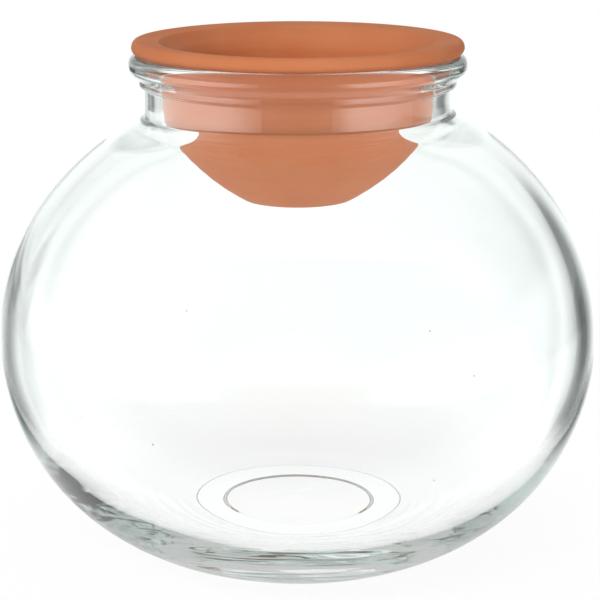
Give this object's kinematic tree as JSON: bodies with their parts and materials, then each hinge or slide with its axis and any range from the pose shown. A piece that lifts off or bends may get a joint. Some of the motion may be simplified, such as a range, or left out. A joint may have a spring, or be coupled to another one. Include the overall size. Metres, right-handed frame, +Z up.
{
  "type": "glass bowl with terracotta dish",
  "caption": "Round clear-glass globe bowl with a short beaded neck and a loose unglazed terracotta dish whose flat rim rests on the lip and lifts straight out.",
  "frame": {"origin": "on the table, at the centre of the foot ring under the bowl", "axes": "+Z up along the axis that both pieces are turned about; +X and +Y lie in the table plane and are equivalent, because the object is round"},
  "size_m": [0.2, 0.2, 0.1742],
  "materials": {
    "clear_glass": "polished",
    "terracotta": "matte"
  },
  "bodies": {
    "bowl": {"glass_bowl": "clear_glass"},
    "dish": {"terracotta_dish": "terracotta"}
  },
  "joints": [
    {"name": "dish_lift", "type": "slide", "parent": "bowl", "child": "dish", "axis": [0, 0, 1], "range_m": [0, 0.12]}
  ]
}
